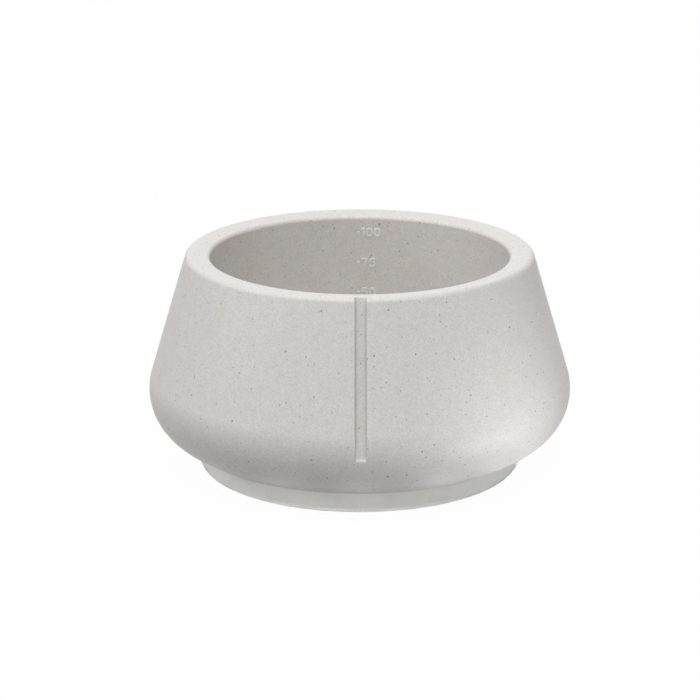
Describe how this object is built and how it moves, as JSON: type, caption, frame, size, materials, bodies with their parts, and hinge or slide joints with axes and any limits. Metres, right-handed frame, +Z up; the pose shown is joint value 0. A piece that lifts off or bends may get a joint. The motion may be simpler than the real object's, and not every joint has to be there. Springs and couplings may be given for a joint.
{
  "type": "hair color bowl",
  "caption": "Squat round mixing bowl for hair color: thick wall leaning in to the mouth, round shoulder, front groove, raised scale inside and a clear non-slip base ring.",
  "frame": {"origin": "centre of the flat face that the base ring stands on, on the bowl's axis", "axes": "+Z up along the bowl's axis, -Y towards the front groove, +Y towards the raised scale inside the back wall"},
  "size_m": [0.14, 0.14, 0.073],
  "materials": {
    "speckled_soft_stone": "matte warm light grey with fine dark and tan specks",
    "frosted_clear_elastomer": "frosted translucent, slightly green-grey"
  },
  "bodies": {
    "root": {"bowl_body": "speckled_soft_stone", "base_ring": "frosted_clear_elastomer"}
  },
  "joints": []
}
